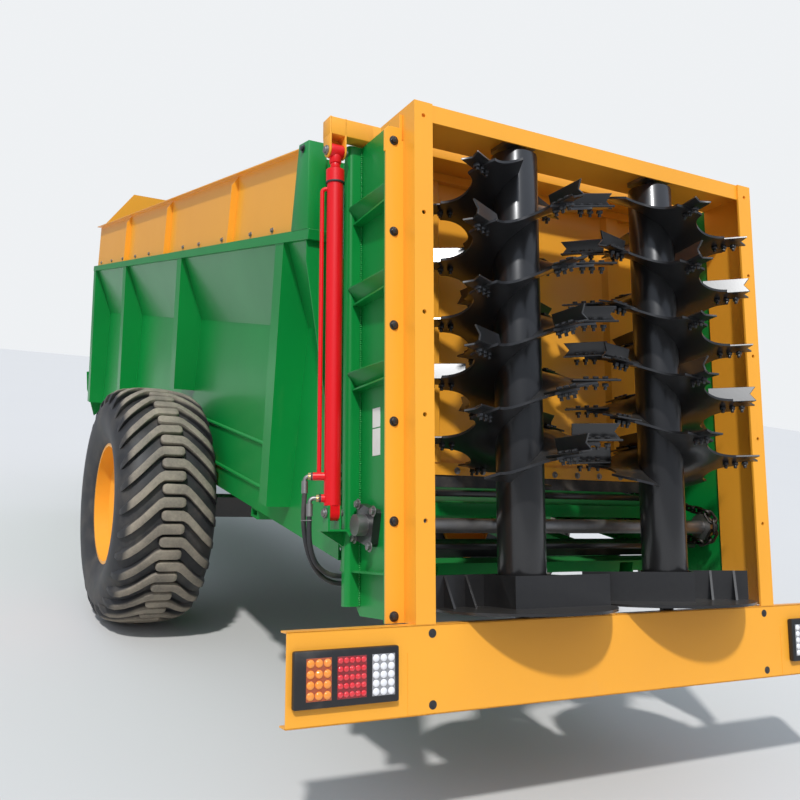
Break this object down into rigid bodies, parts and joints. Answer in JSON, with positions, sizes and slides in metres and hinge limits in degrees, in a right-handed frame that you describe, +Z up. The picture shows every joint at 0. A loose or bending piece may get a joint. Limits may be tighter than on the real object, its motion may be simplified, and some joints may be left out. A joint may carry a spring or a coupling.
{
  "type": "fertilizer spreader",
  "caption": "Towed fertilizer spreader with a ribbed hopper, floor conveyor, raked rear frame with upright spreading rotors, lifting rear door, wide tyres and a drawbar.",
  "frame": {"origin": "middle of the machine's length and width, on the ground", "axes": "+X forward to the towing eye, +Y to the machine's left, +Z up"},
  "size_m": [7.0186, 2.49, 2.416],
  "materials": {
    "green_paint": "gloss",
    "yellow_paint": "gloss",
    "red_paint": "gloss",
    "black_paint": "gloss",
    "bare_steel": "satin",
    "chrome_rod": "polished",
    "tyre": "matt",
    "rubber": "matt",
    "lamp_black": "matt",
    "lamp_amber": "gloss",
    "lamp_red": "gloss",
    "lamp_white": "gloss",
    "brass": "satin"
  },
  "bodies": {
    "body": {"rotor_frame_posts": "yellow_paint", "top_beam": "yellow_paint", "rear_beam": "yellow_paint", "lamp_housings": "lamp_black", "lamp_amber": "lamp_amber", "lamp_red": "lamp_red", "lamp_white": "lamp_white", "rotor_top_bearings": "bare_steel", "gearbox_carrier": "yellow_paint", "rotor_gearboxes": "yellow_paint", "hopper_side_left": "green_paint", "hopper_side_right": "green_paint", "hopper_floor": "green_paint", "hopper_front": "green_paint", "side_board_left": "yellow_paint", "side_board_right": "yellow_paint", "front_board": "yellow_paint", "rear_side_left": "green_paint", "rear_side_right": "green_paint", "door_guides": "green_paint", "cylinder_barrels": "red_paint", "cylinder_brackets": "green_paint", "corner_casings": "green_paint", "chassis": "green_paint", "drawbar": "green_paint", "towing_eye": "bare_steel", "jack_sleeve": "green_paint", "input_bearing": "green_paint", "axle": "black_paint", "conveyor_chains": "black_paint", "conveyor_rear_shaft": "bare_steel", "conveyor_front_shaft": "bare_steel", "conveyor_bearings": "black_paint", "driveline": "black_paint", "hose_upper_left": "rubber", "hose_upper_right": "rubber", "hose_lower_left": "rubber", "hose_lower_right": "rubber", "hose_fittings": "bare_steel", "conveyor_motor": "black_paint", "valve_bracket": "green_paint", "valve_block": "black_paint"},
    "wheel_left": {"tyre_left": "tyre", "rim_left": "yellow_paint", "hub_left": "yellow_paint"},
    "wheel_right": {"tyre_right": "tyre", "rim_right": "yellow_paint", "hub_right": "yellow_paint"},
    "rotor_left": {"rotor_left": "black_paint", "disc_left": "black_paint"},
    "rotor_right": {"rotor_right": "black_paint", "disc_right": "black_paint"},
    "door": {"door_panel": "yellow_paint", "door_beam": "yellow_paint", "door_flap": "rubber", "cylinder_rods": "chrome_rod"},
    "jack": {"jack_leg": "bare_steel"}
  },
  "joints": [
    {"name": "wheel_left_turn", "type": "hinge", "parent": "body", "child": "wheel_left", "pos_m": [-1.045, 1.03, 0.57], "axis": [0, 1, 0], "continuous": true},
    {"name": "wheel_right_turn", "type": "hinge", "parent": "body", "child": "wheel_right", "pos_m": [-1.045, -1.03, 0.57], "axis": [0, 1, 0], "continuous": true},
    {"name": "rotor_left_turn", "type": "hinge", "parent": "body", "child": "rotor_left", "pos_m": [-3.03837, 0.311, 1.43384], "axis": [0.23, 0, 0.9732], "continuous": true},
    {"name": "rotor_right_turn", "type": "hinge", "parent": "body", "child": "rotor_right", "pos_m": [-3.03837, -0.311, 1.43384], "axis": [0.23, 0, 0.9732], "continuous": true},
    {"name": "door_slide", "type": "slide", "parent": "body", "child": "door", "axis": [0.23, 0, 0.9732], "range_m": [0, 1]},
    {"name": "jack_slide", "type": "slide", "parent": "body", "child": "jack", "axis": [0, 0, 1], "range_m": [0, 0.33]}
  ],
  "couplings": [
    {"joint": "rotor_right_turn", "follows": "rotor_left_turn", "ratio": -1}
  ]
}
